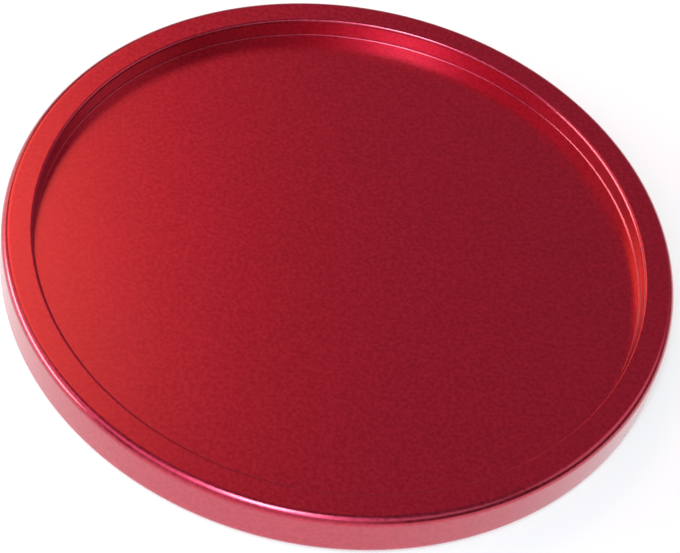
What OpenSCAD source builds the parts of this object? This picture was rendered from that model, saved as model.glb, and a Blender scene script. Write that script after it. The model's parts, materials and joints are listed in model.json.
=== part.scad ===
// Air hockey puck in red anodised aluminium: a turned rim ring, with a flat floor disc
// seated in it from below. The disc closes the ring and leaves a round recess on top.
// The origin is the centre of the underside, and +Z points up out of the recess.
// All sizes are in millimetres.

/* [Rim ring] */
// Outer diameter of the puck
puck_d = 82.5; // [60:0.5:100]
// Height of the puck, from the underside to the top of the rim
puck_h = 6.35; // [5.2:0.05:9]
// Width of the rim, from the outer wall to the recess wall
rim_w = 3.85; // [3.1:0.05:8]
// Radius of the upper and lower outer edges
outer_edge_r = 1; // [0.2:0.05:1.3]
// Radius of the edge between the rim's top and the recess wall
recess_edge_r = 0.4; // [0.1:0.05:0.8]
// Radius of the cove where the recess wall runs out onto the floor
cove_r = 0.2; // [0.1:0.05:1]
// Thickness of the cove's foot at its thin end
cove_foot_t = 0.1; // [0.05:0.01:0.3]
// How far the shoulder that the floor disc bears against lies outside the recess wall
shoulder_w = 1; // [0.5:0.05:1.3]

/* [Floor disc] */
// Thickness of the disc, which leaves the rest of the height as the recess
floor_t = 3.6; // [1.5:0.05:4.8]
// Lead-in chamfer on both edges of the disc
disc_chamfer = 0.25; // [0.1:0.05:0.5]

/* [Seat] */
// Gap all round between the disc's edge and its seat, for a film of retaining compound
seat_clearance = 0.05; // [0.02:0.01:0.1]
// Lead-in chamfer on the mouth of the seat
seat_chamfer = 0.25; // [0.1:0.05:0.5]

/* [Hidden] */
$fn = 180;

// How far a cutting shape runs past the surface that it cuts
overcut = 1;

puck_r = puck_d / 2;
recess_r = puck_r - rim_w;
disc_r = recess_r + shoulder_w;
seat_r = disc_r + seat_clearance;

anodised_red = [0.64, 0.13, 0.18];

// What a fillet of radius r takes off a corner that lies at the origin and points to +X, +Y
module fillet_scrap(r) {
    translate([-r, -r])
        difference() {
            square(r + overcut);
            circle(r);
        }
}

// What a 45 degree chamfer takes off the mouth of a hole of radius r, open towards -Y
module mouth_chamfer_scrap(r, chamfer) {
    polygon([
        [r - overcut, chamfer + overcut],
        [r - overcut, -overcut],
        [r + chamfer + overcut, -overcut]
    ]);
}

// Foot of the recess wall: a low bar that reaches in over the floor and thins out in a cove
module cove_foot() {
    difference() {
        square([cove_r + shoulder_w, cove_foot_t + cove_r]);
        translate([0, cove_foot_t + cove_r])
            circle(cove_r);
    }
}

// Half section of the ring: a bar with three rounded edges, a coved foot in the recess and a
// rebate underneath
module rim_section() {
    difference() {
        union() {
            translate([recess_r, 0])
                square([rim_w, puck_h]);
            translate([recess_r - cove_r, floor_t])
                cove_foot();
        }
        translate([puck_r, puck_h])
            fillet_scrap(outer_edge_r);
        translate([puck_r, 0])
            mirror([0, 1])
                fillet_scrap(outer_edge_r);
        translate([recess_r, puck_h])
            mirror([1, 0])
                fillet_scrap(recess_edge_r);
        translate([recess_r - cove_r - overcut, -overcut])
            square([seat_r - recess_r + cove_r + overcut, floor_t + overcut]);
        mouth_chamfer_scrap(seat_r, seat_chamfer);
    }
}

// Half section of the disc: a flat plate with a chamfer on both edges
module disc_section() {
    polygon([
        [0, 0],
        [disc_r - disc_chamfer, 0],
        [disc_r, disc_chamfer],
        [disc_r, floor_t - disc_chamfer],
        [disc_r - disc_chamfer, floor_t],
        [0, floor_t]
    ]);
}

// Ring turned from tube: outer wall, rim, recess wall with its cove, and the seat for the disc
module rim_ring() {
    color(anodised_red)
        rotate_extrude()
            rim_section();
}

// Plate cut from sheet: the recess floor above, the glide face below
module floor_disc() {
    color(anodised_red)
        rotate_extrude()
            disc_section();
}

rim_ring();
floor_disc();
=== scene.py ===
import json
import math

import bpy
import numpy as np
from mathutils import Matrix, Vector


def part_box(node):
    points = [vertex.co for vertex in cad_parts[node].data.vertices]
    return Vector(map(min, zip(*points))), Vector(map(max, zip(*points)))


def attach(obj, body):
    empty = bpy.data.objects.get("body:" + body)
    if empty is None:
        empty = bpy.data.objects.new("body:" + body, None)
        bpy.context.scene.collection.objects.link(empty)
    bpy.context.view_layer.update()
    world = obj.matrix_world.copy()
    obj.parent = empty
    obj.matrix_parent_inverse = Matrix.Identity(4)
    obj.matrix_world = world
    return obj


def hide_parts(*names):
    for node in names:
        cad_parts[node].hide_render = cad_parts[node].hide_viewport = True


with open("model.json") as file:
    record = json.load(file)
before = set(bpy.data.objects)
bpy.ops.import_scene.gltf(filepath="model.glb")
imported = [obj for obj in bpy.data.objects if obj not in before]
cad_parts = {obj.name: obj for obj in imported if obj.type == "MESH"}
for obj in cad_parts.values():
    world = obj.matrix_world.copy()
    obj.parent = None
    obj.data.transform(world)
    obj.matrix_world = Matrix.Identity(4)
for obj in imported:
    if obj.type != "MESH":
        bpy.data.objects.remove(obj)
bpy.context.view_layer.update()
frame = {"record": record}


# Rim ring: a length of aluminium tube, turned to a flat rim with rounded edges and an upright
# recess wall that ends in a cove, with a rebate and a shoulder underneath for the floor disc. It is
# dyed red in the anodising bath and sealed: satin metal with a fine grain under a clear hard skin.
MM = 0.001
ring_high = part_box("rim_ring")[1]
disc_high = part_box("floor_disc")[1]
mounts = {mount["name"]: mount for mount in frame["record"]["mounts"]}
puck_radius = ring_high.x
puck_height = ring_high.z
recess_radius = mounts["recess"]["dims"]["r_mm"] * MM
floor_height = disc_high.z
disc_radius = disc_high.x
outer_edge_radius = 1.0 * MM
recess_edge_radius = 0.4 * MM
cove_radius = 0.2 * MM
cove_foot = 0.1 * MM
seat_gap = 0.05 * MM
seat_chamfer = 0.25 * MM
seat_radius = disc_radius + seat_gap
outer_turn = puck_radius - outer_edge_radius
inner_turn = recess_radius + recess_edge_radius
cove_turn = recess_radius - cove_radius
cove_height = floor_height + cove_foot + cove_radius
EDGE_STEPS = 20
RIM_STEPS = 384
SHARP_TURN = math.radians(20)
SAME_PLACE = 1e-9


def straight(start, stop, ease=0.04 * MM):
    """Points from start to stop on one line, with one more close to each end, so that the shading
    of a flat face stays flat up to the edge that rounds it."""
    start, stop = np.array(start, float), np.array(stop, float)
    share = ease / np.linalg.norm(stop - start)
    shares = np.array([0, share, 1 - share, 1])
    return start + np.outer(shares, stop - start)


def rounded(centre, radius, first, last):
    """Points on a quarter circle about centre: centre + radius (cos a, sin a), with the angle a
    going from first to last in equal steps of degrees."""
    angle = np.radians(np.linspace(first, last, EDGE_STEPS + 1))
    return np.array(centre) + radius * np.column_stack([np.cos(angle), np.sin(angle)])


def joined(*stretches):
    """One outline from stretches that end where the next one starts. A point that repeats is kept
    once."""
    points = np.vstack(stretches)
    step = np.linalg.norm(np.diff(points, axis=0), axis=1)
    return points[np.append(True, step > SAME_PLACE)]


def turned(name, outline, closed):
    """A turned piece: each outline point (r, z) is carried round the Z axis to (r cos t, r sin t, z).
    A closed outline gives a ring. An open one starts and ends on the axis, and gives a disc with one
    point at each pole. Edges where the outline turns sharply are kept sharp."""
    if closed:
        outline = outline[:-1]
    turn = np.linspace(0, 2 * np.pi, RIM_STEPS, endpoint=False)
    rows = outline if closed else outline[1:-1]
    radius, height = rows[:, 0], rows[:, 1]
    grid = np.stack([
        np.outer(radius, np.cos(turn)),
        np.outer(radius, np.sin(turn)),
        np.outer(height, np.ones(RIM_STEPS)),
    ], axis=-1)
    places = grid.reshape(-1, 3)
    index = np.arange(len(places)).reshape(len(rows), RIM_STEPS)
    ahead = np.roll(index, -1, axis=1)
    upper = np.roll(index, -1, axis=0)
    upper_ahead = np.roll(ahead, -1, axis=0)
    quads = np.stack([index, ahead, upper_ahead, upper], axis=-1)
    faces = (quads if closed else quads[:-1]).reshape(-1, 4).tolist()
    if not closed:
        first_pole, last_pole = len(places), len(places) + 1
        poles = [[0, 0, outline[0, 1]], [0, 0, outline[-1, 1]]]
        places = np.vstack([places, poles])
        faces += np.stack([ahead[0], index[0], np.full(RIM_STEPS, first_pole)], axis=-1).tolist()
        faces += np.stack([index[-1], ahead[-1], np.full(RIM_STEPS, last_pole)], axis=-1).tolist()
    mesh = bpy.data.meshes.new(name)
    mesh.from_pydata(places.tolist(), [], faces)
    mesh.polygons.foreach_set("use_smooth", np.ones(len(mesh.polygons), bool))

    before = rows - (np.roll(rows, 1, axis=0) if closed else outline[:-2])
    after = (np.roll(rows, -1, axis=0) if closed else outline[2:]) - rows
    heading = np.arctan2(after[:, 1], after[:, 0]) - np.arctan2(before[:, 1], before[:, 0])
    sharp_row = np.abs((heading + np.pi) % (2 * np.pi) - np.pi) > SHARP_TURN
    edge_ends = np.empty(len(mesh.edges) * 2, np.int32)
    mesh.edges.foreach_get("vertices", edge_ends)
    # each pole counts as a row of its own, so that no edge to it runs along a row
    row_of_point = np.append(np.repeat(np.arange(len(rows)), RIM_STEPS), [-1, -2])
    edge_rows = row_of_point[edge_ends.reshape(-1, 2)]
    along = edge_rows[:, 0] == edge_rows[:, 1]
    sharp = along & sharp_row[np.clip(edge_rows[:, 0], 0, None)]
    mesh.attributes.new("sharp_edge", "BOOLEAN", "EDGE").data.foreach_set("value", sharp)
    mesh.update()
    piece = bpy.data.objects.new(name, mesh)
    bpy.context.scene.collection.objects.link(piece)
    return piece


rim_outline = joined(
    straight((seat_radius + seat_chamfer, 0), (outer_turn, 0)),
    rounded((outer_turn, outer_edge_radius), outer_edge_radius, -90, 0),
    straight((puck_radius, outer_edge_radius), (puck_radius, puck_height - outer_edge_radius)),
    rounded((outer_turn, puck_height - outer_edge_radius), outer_edge_radius, 0, 90),
    straight((outer_turn, puck_height), (inner_turn, puck_height)),
    rounded((inner_turn, puck_height - recess_edge_radius), recess_edge_radius, 90, 180),
    straight((recess_radius, puck_height - recess_edge_radius), (recess_radius, cove_height)),
    rounded((cove_turn, cove_height), cove_radius, 0, -90),
    straight((cove_turn, floor_height + cove_foot), (cove_turn, floor_height)),
    straight((cove_turn, floor_height), (seat_radius, floor_height)),
    straight((seat_radius, floor_height), (seat_radius, seat_chamfer)),
    straight((seat_radius, seat_chamfer), (seat_radius + seat_chamfer, 0)),
)

GRAIN_SCALE = 1900
GRAIN_LOW = 0.3
GRAIN_HIGH = 0.7
CLOUD_SCALE = 160
NOISE_MIDDLE = 0.5
CLOUD_SHADE = 0.12
GRAIN_ROUGHNESS = 0.15
satin_red = {
    "dye": (0.52, 0.007, 0.041, 1),
    "roughness": 0.31,
    "grain": 0.45,
    "speckle": 0.035,
    "grain_depth": 0.003 * MM,
    "skin_roughness": 0.21,
    "skin_ior": 1.58,
}


def add(tree, kind, values=None, **settings):
    """A new shader node of that kind, with its settings, and its inputs set to values or linked to
    sockets."""
    made = tree.nodes.new(kind)
    for setting, value in settings.items():
        setattr(made, setting, value)
    for socket, value in (values or {}).items():
        if isinstance(value, bpy.types.NodeSocket):
            tree.links.new(value, made.inputs[socket])
        else:
            made.inputs[socket].default_value = value
    return made


def arithmetic(tree, operation, *values):
    """The result of a new Math node that does the operation on two or three numbers or sockets."""
    return add(tree, "ShaderNodeMath", dict(enumerate(values)), operation=operation).outputs[0]


def satin_dye_group():
    """Satin aluminium with dye in it: fine grains of about 0.5 mm, paler where the dye is thin, and
    slow clouds of about 6 mm where it took a little deeper. Colour is Dye times 1 plus both, plus
    Speckle times the grains. Roughness gains the grains, and Height is the grains."""
    tree = bpy.data.node_groups.new("satin_dye", "ShaderNodeTree")
    for name, side, kind in (
        ("Dye", "INPUT", "NodeSocketColor"),
        ("Roughness", "INPUT", "NodeSocketFloat"),
        ("Grain", "INPUT", "NodeSocketFloat"),
        ("Speckle", "INPUT", "NodeSocketFloat"),
        ("Colour", "OUTPUT", "NodeSocketColor"),
        ("Roughness", "OUTPUT", "NodeSocketFloat"),
        ("Height", "OUTPUT", "NodeSocketFloat"),
    ):
        tree.interface.new_socket(name, in_out=side, socket_type=kind)
    given = tree.nodes.new("NodeGroupInput").outputs
    place = add(tree, "ShaderNodeTexCoord").outputs["Object"]
    grains = add(tree, "ShaderNodeTexNoise", {
        "Vector": place, "Scale": GRAIN_SCALE, "Detail": 1, "Roughness": 0.6,
    })
    clouds = add(tree, "ShaderNodeTexNoise", {
        "Vector": place, "Scale": CLOUD_SCALE, "Detail": 3, "Roughness": 0.5,
    })
    even = add(tree, "ShaderNodeClamp", {
        "Value": grains.outputs["Fac"], "Min": GRAIN_LOW, "Max": GRAIN_HIGH,
    })
    grain = arithmetic(tree, "SUBTRACT", even.outputs[0], NOISE_MIDDLE)
    cloud = arithmetic(tree, "SUBTRACT", clouds.outputs["Fac"], NOISE_MIDDLE)
    grain_shade = arithmetic(tree, "MULTIPLY_ADD", grain, given["Grain"], 1.0)
    shade = arithmetic(tree, "MULTIPLY_ADD", cloud, CLOUD_SHADE, grain_shade)
    speckle = arithmetic(tree, "MULTIPLY", grain, given["Speckle"])
    roughness = arithmetic(tree, "MULTIPLY_ADD", grain, GRAIN_ROUGHNESS, given["Roughness"])
    dyed = add(tree, "ShaderNodeVectorMath", {0: given["Dye"], "Scale": shade}, operation="SCALE")
    mottled = add(tree, "ShaderNodeVectorMath", {0: dyed.outputs["Vector"], 1: speckle},
                  operation="ADD")
    colour = add(tree, "ShaderNodeVectorMath", {0: mottled.outputs["Vector"], 1: (0, 0, 0)},
                 operation="MAXIMUM")
    result = tree.nodes.new("NodeGroupOutput")
    tree.links.new(colour.outputs["Vector"], result.inputs["Colour"])
    tree.links.new(roughness, result.inputs["Roughness"])
    tree.links.new(grain, result.inputs["Height"])
    return tree


satin_dye = satin_dye_group()


def anodised(name, dye, roughness, grain, speckle, grain_depth, skin_roughness, skin_ior):
    """Anodised aluminium: metal in the dye's colour with a satin grain, under a smooth clear skin."""
    material = bpy.data.materials.new(name)
    material.use_nodes = True
    tree = material.node_tree
    tree.nodes.clear()
    finish = add(tree, "ShaderNodeGroup", node_tree=satin_dye)
    finish.inputs["Dye"].default_value = dye
    finish.inputs["Roughness"].default_value = roughness
    finish.inputs["Grain"].default_value = grain
    finish.inputs["Speckle"].default_value = speckle
    bump = add(tree, "ShaderNodeBump", {
        "Height": finish.outputs["Height"], "Distance": grain_depth, "Strength": 1.0,
    })
    shader = add(tree, "ShaderNodeBsdfPrincipled", {
        "Base Color": finish.outputs["Colour"],
        "Roughness": finish.outputs["Roughness"],
        "Metallic": 1.0,
        "Normal": bump.outputs["Normal"],
        "Coat Weight": 1.0,
        "Coat Roughness": skin_roughness,
        "Coat IOR": skin_ior,
    })
    output = add(tree, "ShaderNodeOutputMaterial")
    tree.links.new(shader.outputs["BSDF"], output.inputs["Surface"])
    return material


rim_ring = turned("rim_ring_turned", rim_outline, closed=True)
rim_anodised = anodised("rim_anodised", **satin_red)
rim_ring.data.materials.append(rim_anodised)
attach(rim_ring, "root")
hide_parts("rim_ring")


# Floor disc: a flat disc cut from aluminium sheet, chamfered on both edges, with the ring's red
# finish. It is pushed into the rebate from below until it bears on the shoulder, and bonded there,
# so its top is the floor of the recess and its underside glides on the table.
disc_chamfer = 0.25 * MM
disc_flat = disc_radius - disc_chamfer
disc_outline = joined(
    straight((0, 0), (disc_flat, 0)),
    straight((disc_flat, 0), (disc_radius, disc_chamfer)),
    straight((disc_radius, disc_chamfer), (disc_radius, floor_height - disc_chamfer)),
    straight((disc_radius, floor_height - disc_chamfer), (disc_flat, floor_height)),
    straight((disc_flat, floor_height), (0, floor_height)),
)
floor_disc = turned("floor_disc_cut", disc_outline, closed=False)
floor_anodised = anodised("floor_anodised", **satin_red)
floor_disc.data.materials.append(floor_anodised)
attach(floor_disc, "root")
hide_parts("floor_disc")


# Table: the plain painted top that the puck lies on for its picture. Its paint is a little warm,
# which evens out the cool front lamp. A glow makes it white to the camera, in reflections and
# through clear pieces, and the puck's shadow stays on it.
table_side = 3.0
table_colour = (0.64, 0.53, 0.5, 1)
table_roughness = 0.8
table_glow = 0.46
half = table_side / 2
corners = [(-half, -half, 0), (half, -half, 0), (half, half, 0), (-half, half, 0)]
table_mesh = bpy.data.meshes.new("table_top")
table_mesh.from_pydata(corners, [], [(0, 1, 2, 3)])
table_top = bpy.data.objects.new("table_top", table_mesh)
bpy.context.scene.collection.objects.link(table_top)
table_paint = bpy.data.materials.new("table_white")
table_paint.use_nodes = True
table_tree = table_paint.node_tree
ray = add(table_tree, "ShaderNodeLightPath").outputs
seen_or_mirrored = arithmetic(table_tree, "MAXIMUM", ray["Is Camera Ray"], ray["Is Glossy Ray"])
seen_at_all = arithmetic(table_tree, "MAXIMUM", seen_or_mirrored, ray["Is Transmission Ray"])
glow = arithmetic(table_tree, "MULTIPLY", seen_at_all, table_glow)
table_shader = table_tree.nodes["Principled BSDF"]
table_shader.inputs["Base Color"].default_value = table_colour
table_shader.inputs["Roughness"].default_value = table_roughness
table_shader.inputs["Emission Color"].default_value = (1, 1, 1, 1)
table_tree.links.new(glow, table_shader.inputs["Emission Strength"])
table_mesh.materials.append(table_paint)


# Studio light: a dim even room, a cool lamp high in front with a weaker one below it, a bright low
# window on the left, a warm lamp behind on the left, and weak lamps on both sides for the recess
# wall. The walls in front, on the left and behind are dim panels for the rounded edges to mirror.
room_colour = (1.0, 0.9, 0.95, 1)
room_strength = 0.085
room = bpy.data.worlds.new("studio_room")
room.use_nodes = True
room_light = room.node_tree.nodes["Background"]
room_light.inputs["Color"].default_value = room_colour
room_light.inputs["Strength"].default_value = room_strength
bpy.context.scene.world = room


def soft_lamp(name, azimuth, elevation, distance, across, radiance, colour):
    """A rectangular lamp that faces the puck. The azimuth is counted from +X towards +Y, in degrees
    like the elevation. The power that gives its face that radiance is pi times the area times the
    radiance."""
    turn, rise = math.radians(azimuth), math.radians(elevation)
    flat = math.cos(rise)
    towards = Vector((math.cos(turn) * flat, math.sin(turn) * flat, math.sin(rise)))
    lamp = bpy.data.lights.new(name, "AREA")
    lamp.shape = "RECTANGLE"
    lamp.size, lamp.size_y = across
    lamp.energy = math.pi * across[0] * across[1] * radiance
    lamp.color = colour
    holder = bpy.data.objects.new(name, lamp)
    facing = towards.to_track_quat("Z", "Y").to_matrix().to_4x4()
    holder.matrix_world = Matrix.Translation(distance * towards) @ facing
    bpy.context.scene.collection.objects.link(holder)


soft_lamp("lamp_front", 260, 63, 0.8, (0.18, 0.38), 22, (0.46, 0.88, 0.92))
soft_lamp("lamp_front_low", 264, 45, 0.8, (0.45, 0.14), 4.5, (0.6, 0.55, 1.0))
soft_lamp("wall_front", 262, 18, 0.9, (1.2, 0.45), 0.7, (1.0, 0.8, 0.9))
soft_lamp("lamp_left_front", 216, 47, 1.0, (0.75, 0.42), 1.25, (1.0, 0.7, 1.0))
soft_lamp("window_left", 184, 15, 0.9, (0.7, 0.24), 12, (0.6, 1.0, 0.9))
soft_lamp("wall_left", 150, 14, 1.0, (0.6, 0.35), 1.7, (1.0, 0.9, 0.7))
soft_lamp("lamp_left", 168, 40, 1.0, (0.5, 0.5), 0.95, (1.0, 0.8, 0.8))
soft_lamp("lamp_back_left", 121, 47, 1.2, (0.48, 0.52), 2.4, (1.0, 0.45, 0.23))
soft_lamp("wall_back", 72, 34, 1.0, (1.6, 1.3), 0.26, (1.0, 0.18, 0.4))
soft_lamp("lamp_right", 16, 42, 0.8, (0.6, 0.3), 0.9, (1.0, 0.95, 1.0))
soft_lamp("lamp_right_front", 306, 48, 1.0, (0.85, 0.42), 0.8, (0.8, 0.9, 1.0))


# Camera: where the photograph was taken from, with the picture turned a little. Its framing is
# for a picture of 680 by 553.
camera_distance = 6.866 * puck_radius
camera_elevation = math.radians(49.65)
camera_pan = math.radians(0.122)
camera_tilt = math.radians(-0.132)
camera_roll = math.radians(12.01)
camera_lens = 121.05
film_width = 36
nearest_seen = 0.01
camera = bpy.data.objects.new("camera", bpy.data.cameras.new("camera"))
camera.data.sensor_width = film_width
camera.data.lens = camera_lens
camera.data.clip_start = nearest_seen
place = camera_distance * Vector((0, -math.cos(camera_elevation), math.sin(camera_elevation)))
forward = -place.normalized()
right = Vector((1, 0, 0))
up = right.cross(forward)
forward = (forward + math.tan(camera_pan) * right + math.tan(camera_tilt) * up).normalized()
right = forward.cross(up).normalized()
up = right.cross(forward)
turned_right = math.cos(camera_roll) * right + math.sin(camera_roll) * up
turned_up = math.cos(camera_roll) * up - math.sin(camera_roll) * right
axes = Matrix((turned_right, turned_up, -forward)).transposed()
camera.matrix_world = Matrix.Translation(place) @ axes.to_4x4()
bpy.context.scene.collection.objects.link(camera)
bpy.context.scene.camera = camera
bpy.context.scene.view_settings.view_transform = "Standard"
